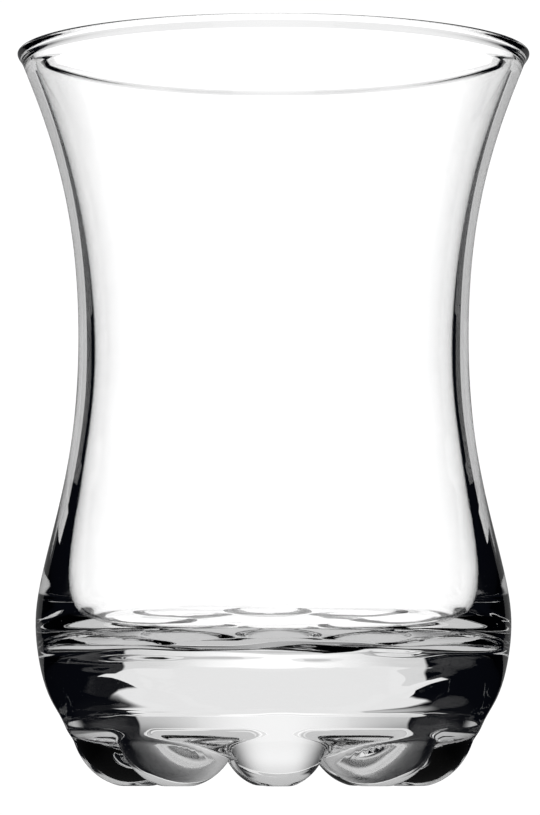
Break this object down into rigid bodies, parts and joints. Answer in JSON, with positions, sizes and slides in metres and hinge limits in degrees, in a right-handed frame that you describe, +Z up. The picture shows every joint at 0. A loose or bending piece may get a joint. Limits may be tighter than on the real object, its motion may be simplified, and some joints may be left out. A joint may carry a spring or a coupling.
{
  "type": "turkish tea glass",
  "caption": "Waisted clear tea glass with a flared lip, a round belly, a thick bottom and a lobed foot, for serving hot tea.",
  "frame": {"origin": "centre of the base, on the plane that the foot's lobes stand on", "axes": "+Z up along the glass's axis, -Y towards the picture's camera, +X to its right"},
  "size_m": [0.0622, 0.0622, 0.089],
  "materials": {
    "clear_glass": "fire polished, clear and colourless"
  },
  "bodies": {
    "root": {"tea_glass": "clear_glass"}
  },
  "joints": []
}
